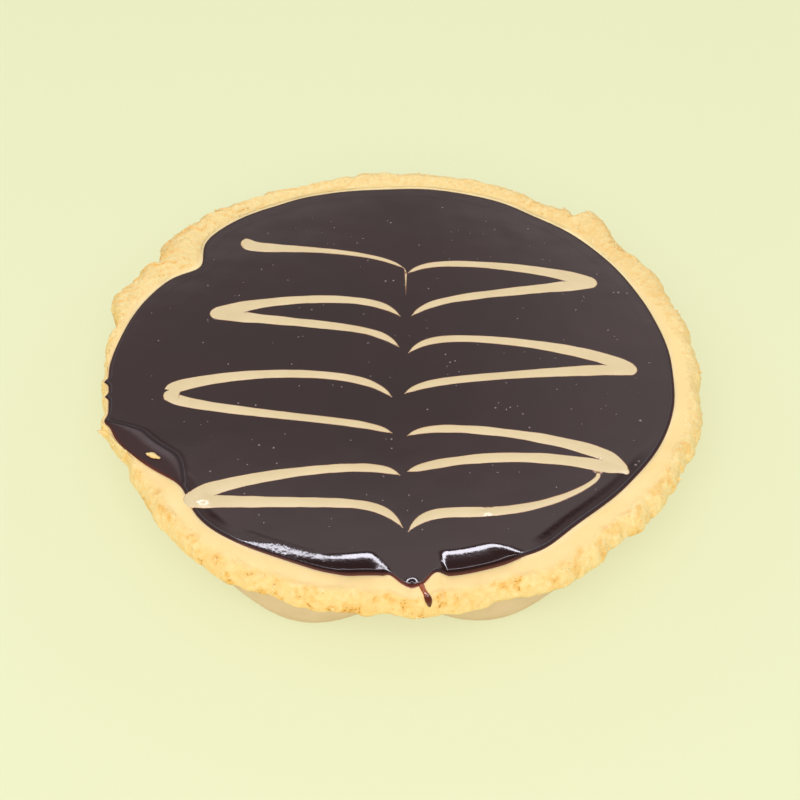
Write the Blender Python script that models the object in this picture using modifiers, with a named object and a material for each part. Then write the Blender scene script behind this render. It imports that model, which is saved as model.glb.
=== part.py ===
"""Chocolate tart: a shortcrust case filled to the brim with chocolate, topped with feathered icing.

The tart stands on its flat base with its origin at the middle of the base. X runs to the right, Y to the
back and Z up. The knife stroke that feathers the icing runs towards the front, along -Y.
"""
import math

import bpy
from mathutils import Vector, noise

mm = 0.001

# Driving dimensions of the case
BASE_RADIUS = 45.0 * mm
FLOOR_RADIUS = 41.0 * mm
FLOOR_HEIGHT = 4.0 * mm
INNER_WALL_RADIUS = 45.0 * mm
RIM_HEIGHT = 15.6 * mm
LIP_RADIUS = 51.4 * mm
LIP_DROP = 3.2 * mm
THINNEST_RIM = 0.8 * mm
WALL_TOP_RADIUS = 49.0 * mm
STEPS = 160

# Driving dimensions of the filling
FILLING_HEIGHT = 15.0 * mm
GLAZE_RADIUS = 46.3 * mm
SHOULDER_WIDTH = 1.2 * mm
SHOULDER_DROP = 0.3 * mm
PIECE_GAP = 0.35 * mm
HIDDEN_GAP = 0.6 * mm

# Driving dimensions of the icing
ICING_THICKNESS = 0.5 * mm
STRAND_WIDTH_AT_TIP = 2.4 * mm
STRAND_WIDTH_AT_KNIFE = 1.5 * mm
STRAND_END_WIDTH = 0.3 * mm
STRAND_POINTS = 13
KNIFE_X = 0.9 * mm
DRAG_REACH = 3.4 * mm
TAPER_REACH = 1.3 * mm
TAIL_LENGTH = 9.0 * mm
CROTCH_GAP = 0.3 * mm

# Each feature is (polar angle in degrees, half width in degrees, amount). Angle 0 is +X and 270 is the front.
GLAZE_EDGE_FEATURES = {
    "spill over the left rim": (190, 14, 4.2 * mm),
    "wide pour at the back left": (128, 12, 1.8 * mm),
    "crust nub poking in": (146.5, 3.5, -3.2 * mm),
    "crust step at the front left": (219, 6, -1.9 * mm),
    "spout at the front": (275, 2.2, 2.2 * mm),
    "pinch at the front right": (306, 9, -0.5 * mm),
    "slack on the right": (350, 11, 0.8 * mm),
}
LIP_FEATURES = {
    "pointed flap at the back right": (45, 3.5, 2.2 * mm),
    "bulge at the back left": (135, 9, 2.0 * mm),
    "crumb at the left": (160, 3.5, 1.4 * mm),
    "flattened left side": (210, 11, -1.2 * mm),
    "crumb at the front left": (197, 2.5, 1.8 * mm),
}
CREST_FEATURES = {
    "raised back": (95, 50, 0.5 * mm),
    "raised flap": (45, 4, 0.5 * mm),
    "raised back left": (135, 10, 0.5 * mm),
    "sunk under the spill": (188, 13, -0.9 * mm),
    "low front": (270, 45, -0.7 * mm),
}
BASE_FEATURES = {
    "left belly": (250, 8, 2.4 * mm),
    "front tuck": (270, 7, -4.0 * mm),
    "right belly": (288, 6, 1.8 * mm),
}
SHOULDER_WIDTH_FEATURES = {
    "rolled front edge": (272, 36, 3.2 * mm),
    "fold at the front left": (210, 12, 3.6 * mm),
}
SHOULDER_DROP_FEATURES = {
    "rolled front edge": (272, 36, 1.1 * mm),
    "fold at the front left": (208, 12, 0.8 * mm),
}

# Each strand is (x and y at its tip, x at its end, y at the knife line, bow, drag, turn), lengths in mm.
# A turn of 1 leaves the tip straight, and a smaller turn leaves it in a rounder curve.
STRANDS = {
    "left_1": (-28.0, 30.2, 0.9, 25.5, 1.6, 3.5, 0.4),
    "right_1_back": (34.6, 19.2, 1.5, 27.2, -0.8, 7.5, 0.55),
    "right_1_front": (34.6, 19.2, 2.2, 14.4, 0.0, 5.5, 0.95),
    "left_2_back": (-32.0, 11.3, 0.2, 14.4, 1.5, 5.0, 0.45),
    "left_2_front": (-32.0, 11.3, 0.0, 8.6, -1.3, 10.0, 1.0),
    "right_2_back": (39.5, -2.8, 1.6, 6.6, 0.7, 7.0, 0.65),
    "right_2_front": (39.5, -2.8, 0.9, -6.4, 0.9, 3.0, 1.0),
    "left_3_back": (-38.5, -8.8, -1.2, -5.7, 2.1, 7.0, 0.16),
    "left_3_front": (-38.5, -8.8, -1.1, -16.7, 1.3, 3.0, 0.5),
    "right_3_back": (37.0, -25.6, 1.3, -16.0, 1.6, 2.6, 0.57),
    "right_3_front": (37.0, -25.6, 1.3, -24.8, 2.3, 2.2, 0.32),
    "left_4_back": (-33.2, -31.2, 0.2, -23.8, 0.7, 4.0, 0.65),
    "left_4_front": (-33.2, -31.2, 0.6, -30.6, -1.4, 9.5, 0.42),
    "right_4": (30.4, -25.6, 1.4, -34.4, 0.0, 4.8, 0.28),
}

# Colours, as sRGB
PASTRY_COLOUR = (0.98, 0.84, 0.54)
CHOCOLATE_COLOUR = (0.27, 0.24, 0.24)
ICING_COLOUR = (0.92, 0.80, 0.62)


def clearScene():
    for item in list(bpy.data.objects):
        bpy.data.objects.remove(item, do_unlink=True)


def makeCollection(name):
    collection = bpy.data.collections.new(name)
    bpy.context.scene.collection.children.link(collection)
    return collection


def giveMaterial(item, srgb, roughness):
    material = bpy.data.materials.new(item.name)
    material.use_nodes = True
    shader = material.node_tree.nodes["Principled BSDF"]
    shader.inputs["Base Color"].default_value = [((part + 0.055) / 1.055) ** 2.4 for part in srgb] + [1.0]
    shader.inputs["Roughness"].default_value = roughness
    item.data.materials.clear()
    item.data.materials.append(material)


def featureSum(features, angle):
    """Add up the smooth bumps of a feature table at an angle in radians."""
    total = 0.0
    for centre, halfWidth, amount in features.values():
        offset = (math.degrees(angle) - centre + 180.0) % 360.0 - 180.0
        total += amount * math.exp(-0.5 * (offset / halfWidth) ** 2)
    return total


def unevenness(angle, layer, detail, amount):
    """Smooth noise around the tart. Each layer is a different noise, finer where its detail is higher."""
    return amount * noise.noise(Vector((detail * math.cos(angle), detail * math.sin(angle), layer)))


def glazeRadius(angle):
    return GLAZE_RADIUS + featureSum(GLAZE_EDGE_FEATURES, angle) + unevenness(angle, 3.5, 4.0, 0.6 * mm)


def glazeEdgeHeight(angle):
    return FILLING_HEIGHT - SHOULDER_DROP - featureSum(SHOULDER_DROP_FEATURES, angle)


def shoulderWidth(angle):
    return SHOULDER_WIDTH + featureSum(SHOULDER_WIDTH_FEATURES, angle)


def lipRadius(angle):
    crumble = unevenness(angle, 1.5, 7.0, 1.3 * mm) + unevenness(angle, 5.5, 22.0, 0.9 * mm)
    return LIP_RADIUS + featureSum(LIP_FEATURES, angle) + crumble


def crestHeight(angle):
    crest = RIM_HEIGHT + featureSum(CREST_FEATURES, angle) + unevenness(angle, 7.5, 6.0, 0.4 * mm)
    return max(crest, glazeEdgeHeight(angle) + 0.3 * mm)


def caseSection(angle):
    """Radius and height of the case's skin at one angle, from the middle of its floor round to its base."""
    inner = glazeRadius(angle)
    glazeEdge = glazeEdgeHeight(angle)
    lip = max(lipRadius(angle), inner + THINNEST_RIM)
    rim = lip - inner
    crest = crestHeight(angle)
    lipHeight = crest - LIP_DROP + unevenness(angle, 2.5, 16.0, 0.7 * mm)
    bulge = featureSum(BASE_FEATURES, angle) + unevenness(angle, 9.5, 3.0, 0.5 * mm)
    base = BASE_RADIUS + bulge
    wallTop = min(WALL_TOP_RADIUS + 0.6 * bulge, lip - 1.2 * mm)
    innerWall = min(inner - 1.4 * mm, INNER_WALL_RADIUS)
    return [
        (0.0, FLOOR_HEIGHT),
        (FLOOR_RADIUS + bulge, FLOOR_HEIGHT),
        (FLOOR_RADIUS + bulge + 1.4 * mm, FLOOR_HEIGHT + 1.2 * mm),
        (innerWall + 0.6 * bulge, glazeEdge - 4.5 * mm),
        (inner - 0.5 * mm, glazeEdge - 1.6 * mm),
        (inner, glazeEdge),
        (inner + 0.15 * rim, crest - 0.25 * mm),
        (inner + 0.50 * rim, crest),
        (inner + 0.72 * rim, crest - 0.35 * mm + unevenness(angle, 4.5, 20.0, 0.5 * mm)),
        (inner + 0.90 * rim, crest - 1.5 * mm + unevenness(angle, 6.5, 24.0, 0.6 * mm)),
        (lip, lipHeight),
        (lip - 0.5 * mm, lipHeight - 0.9 * mm),
        (0.5 * (wallTop + lip) - 0.5 * mm, lipHeight - 1.5 * mm),
        (wallTop, lipHeight - 2.3 * mm),
        (0.5 * (wallTop + base) + 0.2 * mm, 4.6 * mm),
        (base, 0.9 * mm),
        (base - 0.8 * mm, 0.0),
        (0.0, 0.0),
    ]


def fillingSection(angle):
    """Radius and height of the filling's skin at one angle, from the middle of its floor round to its top.

    Below the glaze it follows the case's own section, a piece gap away from it.
    """
    floor, corner, wall, ledge = caseSection(angle)[1:5]
    inner = glazeRadius(angle)
    shoulder = shoulderWidth(angle)
    glazeEdge = glazeEdgeHeight(angle)
    drop = FILLING_HEIGHT - glazeEdge
    return [
        (0.0, FILLING_HEIGHT),
        (inner - shoulder, FILLING_HEIGHT),
        (inner - 0.60 * shoulder, FILLING_HEIGHT - 0.14 * drop),
        (inner - 0.30 * shoulder - 0.5 * PIECE_GAP, FILLING_HEIGHT - 0.48 * drop),
        (inner - PIECE_GAP, glazeEdge),
        (ledge[0] - HIDDEN_GAP, ledge[1] + 0.5 * HIDDEN_GAP),
        (wall[0] - HIDDEN_GAP, wall[1] + HIDDEN_GAP),
        (corner[0] - HIDDEN_GAP, corner[1] + 0.5 * HIDDEN_GAP),
        (floor[0] - HIDDEN_GAP, FLOOR_HEIGHT + PIECE_GAP),
        (0.0, FLOOR_HEIGHT + PIECE_GAP),
    ]


def turnPiece(name, section):
    """Turn a section about Z with a Screw, then move each point to its place at its own angle."""
    profile = bpy.data.meshes.new(name)
    points = [(radius, 0.0, height) for radius, height in section(0.0)]
    profile.from_pydata(points, [(row, row + 1) for row in range(len(points) - 1)], [])
    for row, value in enumerate(profile.attributes.new("row", "INT", "POINT").data):
        value.value = row
    item = bpy.data.objects.new(name, profile)
    tartCollection.objects.link(item)
    turn = item.modifiers.new("turn", "SCREW")
    turn.steps = STEPS
    turn.render_steps = STEPS
    turn.use_merge_vertices = True
    turn.merge_threshold = 0.0001
    turned = item.evaluated_get(bpy.context.evaluated_depsgraph_get())
    item.data = bpy.data.meshes.new_from_object(turned)
    item.modifiers.remove(turn)
    bpy.data.meshes.remove(profile)

    rows = [value.value for value in item.data.attributes["row"].data]
    for vertex, row in zip(item.data.vertices, rows):
        angle = math.atan2(vertex.co.y, vertex.co.x)
        radius, height = section(angle)[row]
        vertex.co = (radius * math.cos(angle), radius * math.sin(angle), height)
    item.data.shade_smooth()
    item.data.set_sharp_from_angle(angle=math.radians(50))
    return item


def strandPath(name):
    """Centre points and half widths of one strand, from its tip to its drawn-out end at the knife line."""
    tipX, tipY, endX, middleY, bow, drag = (length * mm for length in STRANDS[name][:6])
    turn = STRANDS[name][6]
    path = []
    for step in range(STRAND_POINTS):
        travel = 0.5 - 0.5 * math.cos(math.pi * step / (STRAND_POINTS - 1))
        x = tipX + (endX - tipX) * travel
        y = tipY + (middleY - tipY) * travel ** turn + 4.0 * bow * travel * (1.0 - travel)
        y -= drag * math.exp(-abs(x - KNIFE_X) / DRAG_REACH)
        width = STRAND_WIDTH_AT_TIP + (STRAND_WIDTH_AT_KNIFE - STRAND_WIDTH_AT_TIP) * travel
        width *= 1.0 - math.exp(-abs(x - endX) / TAPER_REACH)
        path.append((Vector((x, y)), 0.5 * max(width, STRAND_END_WIDTH)))
    return path


def strandEdge(path, side):
    """Points along one edge of a strand. Side 1 is its back edge and side -1 its front edge."""
    edge = []
    for step, (point, halfWidth) in enumerate(path):
        along = path[min(step + 1, len(path) - 1)][0] - path[max(step - 1, 0)][0]
        across = along.orthogonal().normalized()
        if along.x < 0.0:
            across.negate()
        edge.append(point + side * halfWidth * across)
    return edge


def roundTip(path):
    """Points around a strand's tip, from its back edge to its front edge."""
    centre, radius = path[0]
    outward = math.copysign(1.0, centre.x)
    turns = [math.radians(60.0 - 40.0 * step) for step in range(4)]
    return [centre + radius * Vector((outward * math.cos(turn), math.sin(turn))) for turn in turns]


def openStretch(back, front):
    """The inner edges of a loop's two strands, from the crotch where they part to their ends."""
    backEdge = strandEdge(back, -1)
    frontEdge = strandEdge(front, 1)
    first = next(step for step in range(len(back)) if backEdge[step].y - frontEdge[step].y > CROTCH_GAP)
    crotch = 0.5 * (backEdge[first - 1] + frontEdge[first - 1])
    return backEdge[first:], frontEdge[first:], crotch


def loopOutline(back, front):
    """Outline of a loop: two strands that share a tip. It starts and ends at the back strand's end."""
    backInner, frontInner, crotch = openStretch(back, front)
    outer = strandEdge(back, 1)[:0:-1] + roundTip(back) + strandEdge(front, -1)[1:]
    return outer + frontInner[::-1] + [crotch] + backInner


def firstLoopOutline(start, back, front):
    """Outline of the first strand and the loop it runs into, with the tail that the knife drew from them."""
    tailEnd = Vector((KNIFE_X, start[-1][0].y - TAIL_LENGTH))
    startEdges = strandEdge(start, -1)[:0:-1] + roundTip(start)[::-1] + strandEdge(start, 1)[1:-1]
    return loopOutline(back, front) + [tailEnd] + startEdges


def heightAt(edge, x):
    """The y of an edge at an x between two of its points."""
    for start, end in zip(edge, edge[1:]):
        if min(start.x, end.x) <= x <= max(start.x, end.x):
            return start.y + (end.y - start.y) * (x - start.x) / (end.x - start.x)
    return edge[0].y


def lastLoopOutline(back, front, last):
    """Outline of the last loop on the right, with the strand that leaves its front edge."""
    backInner, frontInner, crotch = openStretch(back, front)
    frontOuter = strandEdge(front, -1)
    lastFront, lastBack = (
        [point for point in strandEdge(last, side) if point.y < heightAt(frontOuter, point.x) - CROTCH_GAP]
        for side in (-1, 1)
    )
    towardsTip = [point for point in frontOuter[1:] if point.x > lastFront[0].x + CROTCH_GAP]
    towardsKnife = [point for point in frontOuter if point.x < lastBack[0].x - CROTCH_GAP]
    outer = strandEdge(back, 1)[:0:-1] + roundTip(back) + towardsTip
    return outer + lastFront + lastBack[::-1] + towardsKnife + frontInner[::-1] + [crotch] + backInner


def makeIcing(name, outline):
    """A flat stroke of icing, a piece gap above the filling."""
    curve = bpy.data.curves.new(name, "CURVE")
    curve.dimensions = "2D"
    curve.fill_mode = "BOTH"
    curve.extrude = 0.5 * ICING_THICKNESS
    spline = curve.splines.new("POLY")
    spline.points.add(len(outline) - 1)
    for point, place in zip(spline.points, outline):
        point.co = (place.x, place.y, 0.0, 1.0)
    spline.use_cyclic_u = True
    item = bpy.data.objects.new(name, curve)
    item.location.z = FILLING_HEIGHT + PIECE_GAP + 0.5 * ICING_THICKNESS
    tartCollection.objects.link(item)
    return item


def makeCase():
    giveMaterial(turnPiece("crust", caseSection), PASTRY_COLOUR, 0.75)


def makeFilling():
    giveMaterial(turnPiece("chocolate_filling", fillingSection), CHOCOLATE_COLOUR, 0.15)


def makeAllIcing():
    path = {name: strandPath(name) for name in STRANDS}
    outlines = {
        "icing_right_1": firstLoopOutline(path["left_1"], path["right_1_back"], path["right_1_front"]),
        "icing_left_2": loopOutline(path["left_2_back"], path["left_2_front"]),
        "icing_right_2": loopOutline(path["right_2_back"], path["right_2_front"]),
        "icing_left_3": loopOutline(path["left_3_back"], path["left_3_front"]),
        "icing_right_3": lastLoopOutline(path["right_3_back"], path["right_3_front"], path["right_4"]),
        "icing_left_4": loopOutline(path["left_4_back"], path["left_4_front"]),
    }
    for name, outline in outlines.items():
        giveMaterial(makeIcing(name, outline), ICING_COLOUR, 0.4)


clearScene()
tartCollection = makeCollection("chocolate_tart")
makeCase()
makeFilling()
makeAllIcing()
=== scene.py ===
import math
import random
from functools import lru_cache

import bmesh
import bpy
from mathutils import Euler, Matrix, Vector, noise
from mathutils.geometry import delaunay_2d_cdt


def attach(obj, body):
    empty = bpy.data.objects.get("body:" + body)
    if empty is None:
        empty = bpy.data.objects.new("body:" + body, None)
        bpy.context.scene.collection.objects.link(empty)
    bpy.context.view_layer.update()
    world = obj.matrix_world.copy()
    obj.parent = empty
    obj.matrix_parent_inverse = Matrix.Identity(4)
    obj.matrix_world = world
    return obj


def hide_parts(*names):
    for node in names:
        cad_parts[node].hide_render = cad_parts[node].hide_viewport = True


mm = 0.001

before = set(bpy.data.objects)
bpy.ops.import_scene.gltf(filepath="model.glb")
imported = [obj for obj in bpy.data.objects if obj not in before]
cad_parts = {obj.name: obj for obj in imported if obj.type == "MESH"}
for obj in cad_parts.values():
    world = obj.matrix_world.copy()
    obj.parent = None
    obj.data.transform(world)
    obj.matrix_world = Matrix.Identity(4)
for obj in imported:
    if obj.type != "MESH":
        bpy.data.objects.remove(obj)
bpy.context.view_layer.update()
bpy.ops.object.select_all(action="DESELECT")
print("frame loaded")


# adds up smooth bumps, each (centre and half width in degrees, amount)
def featureSum(features, angle):
    total = 0.0
    for centre, halfWidth, amount in features.values():
        offset = (math.degrees(angle) - centre + 180.0) % 360.0 - 180.0
        total += amount * math.exp(-0.5 * (offset / halfWidth) ** 2)
    return total


def unevenness(angle, layer, detail, amount):  # smooth noise round the tart
    return amount * noise.noise(Vector((detail * math.cos(angle), detail * math.sin(angle), layer)))


def smoothStep(value, low, high):
    share = min(max((value - low) / (high - low), 0.0), 1.0)
    return share * share * (3.0 - 2.0 * share)


# adds up flat-topped stretches, each (start, full from, full to, end in degrees, amount)
def windowSum(windows, angle):
    degrees = math.degrees(angle) % 360.0
    total = 0.0
    for start, fullFrom, fullTo, end, amount in windows.values():
        total += amount * smoothStep(degrees, start, fullFrom) * (1.0 - smoothStep(degrees, fullTo, end))
    return total


# height lost along a slope that steepens in stages, each (start, end, added slope)
def rampSum(travel, ramps):
    total = 0.0
    for start, end, slope in ramps:
        part = min(max(travel - start, 0.0), end - start)
        total += slope * (0.5 * part * part / (end - start) + max(travel - end, 0.0))
    return total


def polar(radius, angle, height):
    return Vector((radius * math.cos(angle), radius * math.sin(angle), height))


# where the pastry meets the chocolate, which both pieces share
edgeSettings = {
    "fillingHeight": 15.0 * mm,
    "glazeRadius": 46.3 * mm,
    "contactDrop": 0.3 * mm,            # how far the glaze curls down at the pastry
    "contactWidth": 0.45 * mm,
    "swell": 0.012 * mm,                # slow waves over the whole top
    # each feature: direction and half width in degrees, amount
    "edgeFeatures": {
        "spill over the left rim": (190, 14, 4.2 * mm),
        "shallow notch in the spill": (189, 4, -0.6 * mm),
        "front half of the spill": (200.5, 4, 0.8 * mm),
        "straighter edge along the fold": (210.5, 3.5, -0.6 * mm),
        "back half of the spill": (168, 7, 0.9 * mm),
        "wide pour at the back left": (128, 12, 1.7 * mm),
        "start of the wide pour": (113.5, 4, 0.5 * mm),
        "crust nub poking in": (146.5, 3.5, -3.1 * mm),
        "fuller back": (76, 12, 0.5 * mm),
        "tighter back right": (38, 13, -0.45 * mm),
        "fuller back right": (64, 5, 0.3 * mm),
        "crust step at the front left": (218.6, 4.6, -2.0 * mm),
        "fuller front left": (232, 8, 0.8 * mm),
        "thick crust left of the spout": (264.7, 3.2, -0.9 * mm),
        "thick crust right of the spout": (277.4, 1.8, -0.3 * mm),
        "pinch at the front right": (310, 7, -0.8 * mm),
        "bite past the right pocket": (297.5, 4, 0.6 * mm),
        "tighter right": (322, 7, -0.4 * mm),
        "slack on the right": (350, 11, 0.8 * mm),
        "point on the spill": (186.2, 0.5, 0.7 * mm),
        "second point on the spill": (190.2, 0.45, 0.6 * mm),
        "corner of the spill": (196.6, 0.9, 0.8 * mm),
    },
    # each stretch: start, full from, full to and end in degrees, amount
    "spout": {"spout at the front": (267.6, 271.9, 273.5, 277.2, 2.0 * mm)},
    "spoutReach": 2.0 * mm,
    "pockets": {
        "left pocket": (234.5, 241, 267.4, 269.2, 0.95),
        "right pocket": (277.2, 279.7, 290.5, 296.5, 1.0),
    },
    "deepPockets": {
        "left pocket": (243.5, 254, 267.4, 269.2, 1.0),
        "right pocket": (277.2, 279.7, 290.5, 296.5, 1.0),
    },
    "steepPockets": {
        "left pocket": (257, 261, 267.4, 269.2, 1.0),
        "right pocket": (277.2, 279.7, 290.5, 296.5, 1.0),
    },
    # stages of a pocket's slope, from its brow out to the crust: start, end and added slope
    "pocketBrow": [(0.0, 0.3 * mm, 0.096), (0.3 * mm, 1.0 * mm, 0.075)],
    "pocketSlope": 0.16,
    "pocketFoot": 0.5,
    "footWidth": 0.6 * mm,
    "ripples": {
        "everywhere": (-2, -1, 361, 362, 0.12),
        "left": (237, 240, 252, 264, 0.8),
        "right": (296, 300, 312, 322, 0.3),
    },
    "pocketWidths": {
        "everywhere": (-2, -1, 361, 362, 1.1 * mm),
        "left pocket": (238, 247, 263.8, 269.4, 1.4 * mm),
        "left pocket, right half": (250, 262, 263.8, 269.4, 1.3 * mm),
        "right pocket": (275, 278, 288, 297, 3.0 * mm),
    },
    "grooves": {
        "left groove": (212, 221, 230, 238, 0.13 * mm),
        "right groove": (295, 301, 325, 338, 0.13 * mm),
    },
    "grooveDepth": 0.13 * mm,
    "grooveReach": 2.8 * mm,            # how far in from the edge a groove starts
    "grooveWidth": 1.8 * mm,
    "foldWidth": {"fold at the front left": (195, 202.5, 210, 222, 4.6 * mm)},
    "foldSlope": 0.26,
    "foldEase": -0.2,                   # the fold's slope is gentler from a third of its width on
    "dimple": (1.95 * mm, -47.85 * mm, 1.45 * mm),      # x, y and radius of the dimple in the spout
    "dimpleSlopes": [(0.0, 0.5 * mm, 0.2), (0.5 * mm, 1.0 * mm, 0.35)],
}


@lru_cache(maxsize=None)
def glazeRadius(angle):
    features = featureSum(edgeSettings["edgeFeatures"], angle) + windowSum(edgeSettings["spout"], angle)
    return edgeSettings["glazeRadius"] + features + unevenness(angle, 3.5, 4.0, 0.6 * mm)


@lru_cache(maxsize=None)
def glazeShape(angle):  # pocket strength and width, groove depth, fold width and spout strength
    edge = edgeSettings
    pocket = [windowSum(edge[stage], angle) for stage in ("pockets", "deepPockets", "steepPockets")]
    width = windowSum(edge["pocketWidths"], angle)
    spout = windowSum(edge["spout"], angle) / edge["spoutReach"]
    return pocket, width, windowSum(edge["grooves"], angle), windowSum(edge["foldWidth"], angle), spout


def dimpleDepth(x, y):  # how far inside the dimple a place lies
    centreX, centreY, reach = edgeSettings["dimple"]
    return max(reach - math.hypot(x - centreX, y - centreY), 0.0)


def glazeHeight(angle, radius):
    edge = edgeSettings
    inside = glazeRadius(angle) - radius
    pocket, width, groove, fold, _ = glazeShape(angle)
    height = edge["fillingHeight"]
    height -= edge["contactDrop"] * (1.0 - smoothStep(inside, 0.0, edge["contactWidth"]))
    if pocket[0] > 0.0 and inside < width:
        late = max(width - 0.75 * mm, 1.4 * mm)
        height -= pocket[0] * rampSum(width - inside, edge["pocketBrow"])
        height -= pocket[1] * rampSum(width - inside, [(1.0 * mm, late, edge["pocketSlope"])])
        height -= pocket[2] * rampSum(width - inside, [(late, late + edge["footWidth"], edge["pocketFoot"])])
    height -= groove * smoothStep(edge["grooveReach"] - inside, 0.0, edge["grooveWidth"])
    if fold > inside:
        crease = (0.0, 0.5 * mm, edge["foldSlope"])
        height -= rampSum(fold - inside, [crease, (0.3 * fold, 0.6 * fold + 0.1 * mm, edge["foldEase"])])
    dimple = dimpleDepth(radius * math.cos(angle), radius * math.sin(angle))
    height -= rampSum(dimple, edge["dimpleSlopes"])
    spot = polar(radius, angle, 0.0) / mm
    return height + edge["swell"] * noise.noise(spot * 0.12)


@lru_cache(maxsize=None)
def glazeEdgeHeight(angle):
    return glazeHeight(angle, glazeRadius(angle))


# the pastry case
crustSettings = {
    "steps": 1080,
    "baseRadius": 45.0 * mm,
    "floorRadius": 41.0 * mm,
    "floorHeight": 4.0 * mm,
    "innerWallRadius": 45.0 * mm,
    "rimHeight": 15.6 * mm,
    "lipRadius": 51.4 * mm,
    "lipDrop": 3.2 * mm,
    "thinnestRim": 0.8 * mm,
    "wallTopRadius": 49.0 * mm,
    # unevenness round the case: layer of noise, detail and amount
    "crumble": (1.5, 7.0, 0.9 * mm),
    "fineCrumble": (5.5, 22.0, 0.5 * mm),
    "crestWaves": (7.5, 6.0, 0.4 * mm),
    "outerCrestWaves": (4.5, 20.0, 0.35 * mm),
    "shoulderWaves": (6.5, 24.0, 0.4 * mm),
    "lipWaves": (2.5, 16.0, 0.4 * mm),
    "baseWaves": (9.5, 3.0, 0.5 * mm),
    # each feature: direction and half width in degrees, amount
    "lipFeatures": {
        "small point at the back right": (24, 2.5, 1.0 * mm),
        "foot of the flap": (41.8, 3.4, 1.9 * mm),
        "dip beside the flap": (56.3, 3.2, -1.3 * mm),
        "notch beside the flap": (48.8, 0.8, -1.2 * mm),
        "slimmer back": (112, 10, -0.9 * mm),
        "bulge at the back left": (131, 7, 1.1 * mm),
        "step at the back left": (143.5, 3.2, 2.1 * mm),
        "left shoulder": (158, 8, 1.6 * mm),
        "notch past the step": (149.5, 1.7, -1.5 * mm),
        "small tooth past the notch": (152.7, 1.2, 1.0 * mm),
        "tooth at the left": (162, 2.0, 1.5 * mm),
        "notch at the left": (169.5, 1.8, -1.5 * mm),
        "hollow by the fold": (204, 4, -0.7 * mm),
        "fuller front right": (299, 5, 0.8 * mm),
        "tooth at the right": (329.5, 1.4, 0.8 * mm),
        "fuller front left": (239, 5, 0.8 * mm),
        "flatter front": (267, 5, -0.6 * mm),
        "fuller right": (322, 6, 0.4 * mm),
        "right swell": (349, 5, 0.8 * mm),
        "flattened front right": (316, 4, -0.7 * mm),
        "flattened left side": (208, 9, -1.2 * mm),
        "thin rim beside the spill": (189, 6, -1.5 * mm),
    },
    "flap": {"pointed flap at the back right": (40, 46.6, 47.0, 48.6, 2.5 * mm)},
    "crestFeatures": {
        "raised back": (95, 50, 0.5 * mm),
        "raised flap": (45, 4, 0.5 * mm),
        "raised back left": (135, 10, 0.5 * mm),
        "sunk under the spill": (188, 13, -0.9 * mm),
        "low front": (270, 45, -0.7 * mm),
        "lower at the spout": (272.5, 3, -0.6 * mm),
    },
    "baseFeatures": {
        "left belly": (248, 9.5, 2.7 * mm),
        "front tuck": (270, 7, -4.0 * mm),
        "right belly": (291, 8, 2.2 * mm),
    },
    "edgePoint": 5,                 # the section's point where the glaze ends
    "wallPoint": 12,                # where the smooth side begins
    "basePoint": 16,
    "strokeTurn": 14.0,             # direction of the flaky layers, in degrees from X
    "layerSpacing": 1.9,            # millimetres
    "crumbRelief": 0.12 * mm,
    "lumpRelief": 0.07 * mm,
    "raisedShare": 0.6,             # how much of the relief goes up, where all of it goes outwards
    "blotches": 0.5,                # browner patches along the front
    "layerRelief": {
        "all round": (0, 900, 0.10 * mm),
        "right": (328, 24, 0.3 * mm),
        "back left": (146, 24, 0.85 * mm),
        "back right": (40, 16, 0.12 * mm),
    },
    "toasting": {
        "all round": (0, 900, 0.08),
        "back left": (143, 24, -0.16),
        "back": (95, 26, -0.10),
        "right": (335, 24, -0.2),
        "back right": (42, 22, 0.2),
        "front": (262, 34, 0.27),
    },
}


# radius and height of the case's skin, from the middle of its floor round to its base
@lru_cache(maxsize=None)
def crustSection(angle):
    case = crustSettings
    inner = glazeRadius(angle)
    glazeEdge = glazeEdgeHeight(angle)
    crumble = unevenness(angle, *case["crumble"]) + unevenness(angle, *case["fineCrumble"])
    features = featureSum(case["lipFeatures"], angle) + windowSum(case["flap"], angle)
    lip = max(case["lipRadius"] + features + crumble, inner + case["thinnestRim"])
    rim = lip - inner
    crest = case["rimHeight"] + featureSum(case["crestFeatures"], angle)
    crest = max(crest + unevenness(angle, *case["crestWaves"]), glazeEdge + 0.3 * mm)
    rise = crest - glazeEdge
    outerCrest = crest - 0.35 * mm + unevenness(angle, *case["outerCrestWaves"])
    shoulder = crest - 1.5 * mm + unevenness(angle, *case["shoulderWaves"])
    lipHeight = crest - case["lipDrop"] + unevenness(angle, *case["lipWaves"])
    bulge = featureSum(case["baseFeatures"], angle) + unevenness(angle, *case["baseWaves"])
    base = case["baseRadius"] + bulge
    floor = case["floorRadius"] + bulge
    wallTop = min(case["wallTopRadius"] + 0.6 * bulge, lip - 1.2 * mm)
    innerWall = min(inner - 1.4 * mm, case["innerWallRadius"])
    return [
        (0.0, case["floorHeight"]),
        (floor, case["floorHeight"]),
        (floor + 1.4 * mm, case["floorHeight"] + 1.2 * mm),
        (innerWall + 0.6 * bulge, glazeEdge - 4.5 * mm),
        (inner - 0.5 * mm, glazeEdge - 1.6 * mm),
        (inner, glazeEdge),                                             # the edge of the glaze
        (inner + 0.15 * rim, glazeEdge + min(0.6 * rise, 0.65 * mm)),
        (inner + 0.50 * rim, crest - 0.12 * rise),                      # the top of the rim
        (inner + 0.72 * rim, outerCrest),
        (inner + 0.90 * rim, shoulder),
        (lip, lipHeight),                                               # the outermost crumbs
        (lip - 0.5 * mm, lipHeight - 0.9 * mm),
        (0.5 * (wallTop + lip) - 0.5 * mm, lipHeight - 1.5 * mm),
        (wallTop, lipHeight - 2.3 * mm),                                # the smooth side below the rim
        (0.5 * (wallTop + base) + 0.2 * mm, 4.6 * mm),
        (base, 0.9 * mm),
        (base - 0.8 * mm, 0.0),
        (0.0, 0.0),
    ]


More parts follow.
